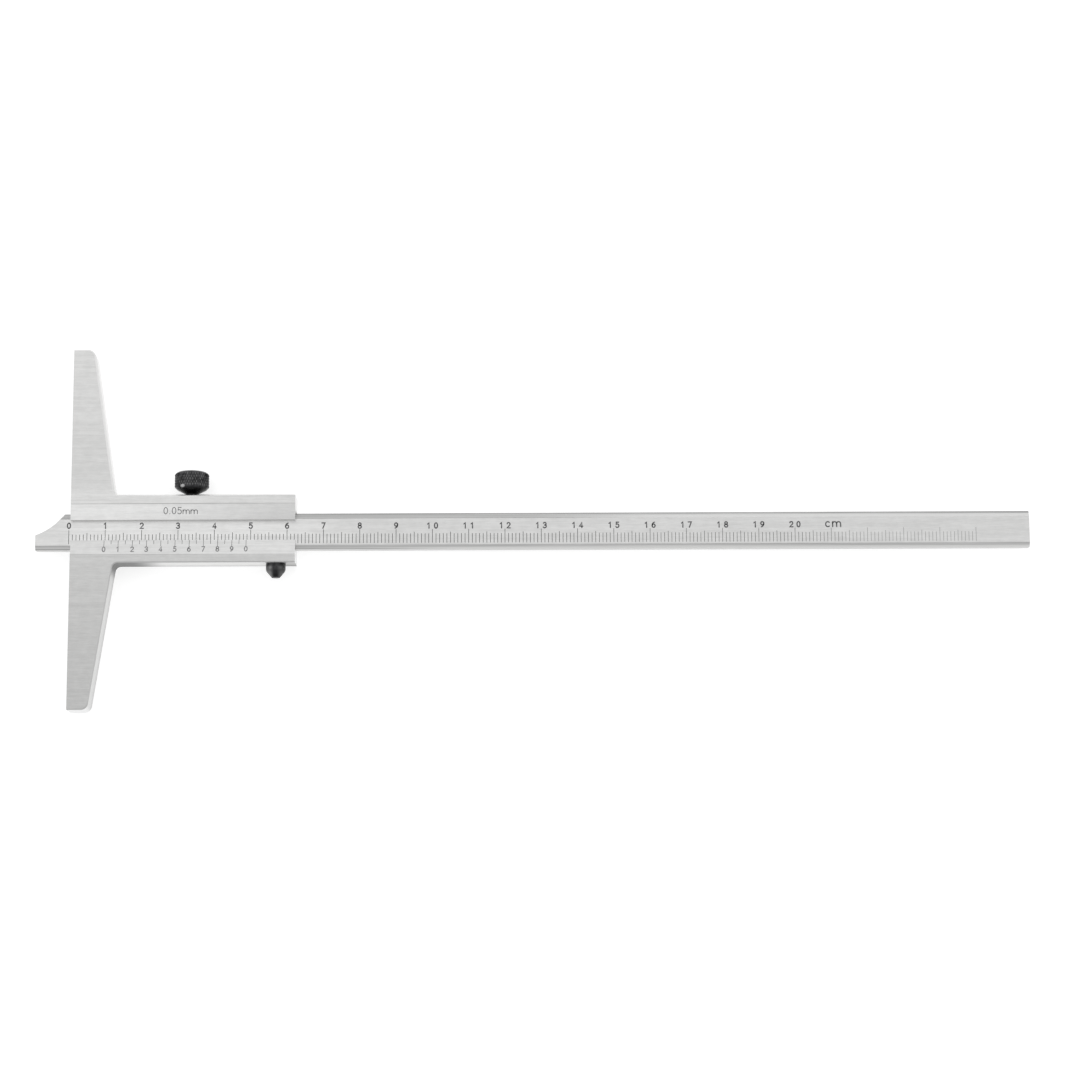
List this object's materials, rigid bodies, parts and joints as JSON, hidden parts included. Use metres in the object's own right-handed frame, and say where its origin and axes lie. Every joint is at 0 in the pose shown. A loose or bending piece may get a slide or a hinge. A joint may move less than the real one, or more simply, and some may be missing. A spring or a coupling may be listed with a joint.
{
  "type": "vernier depth gauge",
  "caption": "Vernier depth gauge: T-shaped bridge with slider, vernier and knurled lock screw on a long graduated beam with a relieved measuring end.",
  "frame": {"origin": "middle of the bridge's back edge, on the measuring face plane and on the back plane that the gauge lies on", "axes": "+X along the beam from the measuring face to the tail, +Y along the bridge towards the lock screw, +Z out of the graduated front"},
  "size_m": [0.274, 0.1004, 0.0095],
  "materials": {
    "body_steel": "fine ground stainless steel, satin, dragged along the beam",
    "beam_steel": "fine ground stainless steel with dark engraved marks",
    "strip_steel": "lighter satin chromed steel",
    "screw_steel": "plain machined steel",
    "black_steel": "black oxide, slightly oiled",
    "bronze": "plain machined bronze"
  },
  "bodies": {
    "slider": {"bridge_body": "body_steel", "upper_guide_strip": "strip_steel", "vernier_strip": "strip_steel", "gib_strip": "bronze", "gib_screw_left": "screw_steel", "gib_screw_right": "screw_steel", "friction_screw": "black_steel", "friction_spring": "screw_steel", "friction_plunger": "bronze"},
    "beam": {"beam": "beam_steel"},
    "lock_pad": {"lock_pad": "bronze"},
    "lock_screw": {"lock_screw": "black_steel"}
  },
  "joints": [
    {"name": "beam_slide", "type": "slide", "parent": "slider", "child": "beam", "axis": [-1, 0, 0], "range_m": [-0.0098, 0.1902]},
    {"name": "lock_travel", "type": "slide", "parent": "slider", "child": "lock_pad", "axis": [0, 1, 0], "range_m": [-0.000138, 0.0005]},
    {"name": "lock_turn", "type": "hinge", "parent": "lock_pad", "child": "lock_screw", "pos_m": [0.03285, 0.01, 0.0048], "axis": [0, 1, 0], "range_deg": [-100, 361]}
  ],
  "couplings": [
    {"joint": "lock_turn", "follows": "lock_travel", "rad_per_m": 12566}
  ]
}
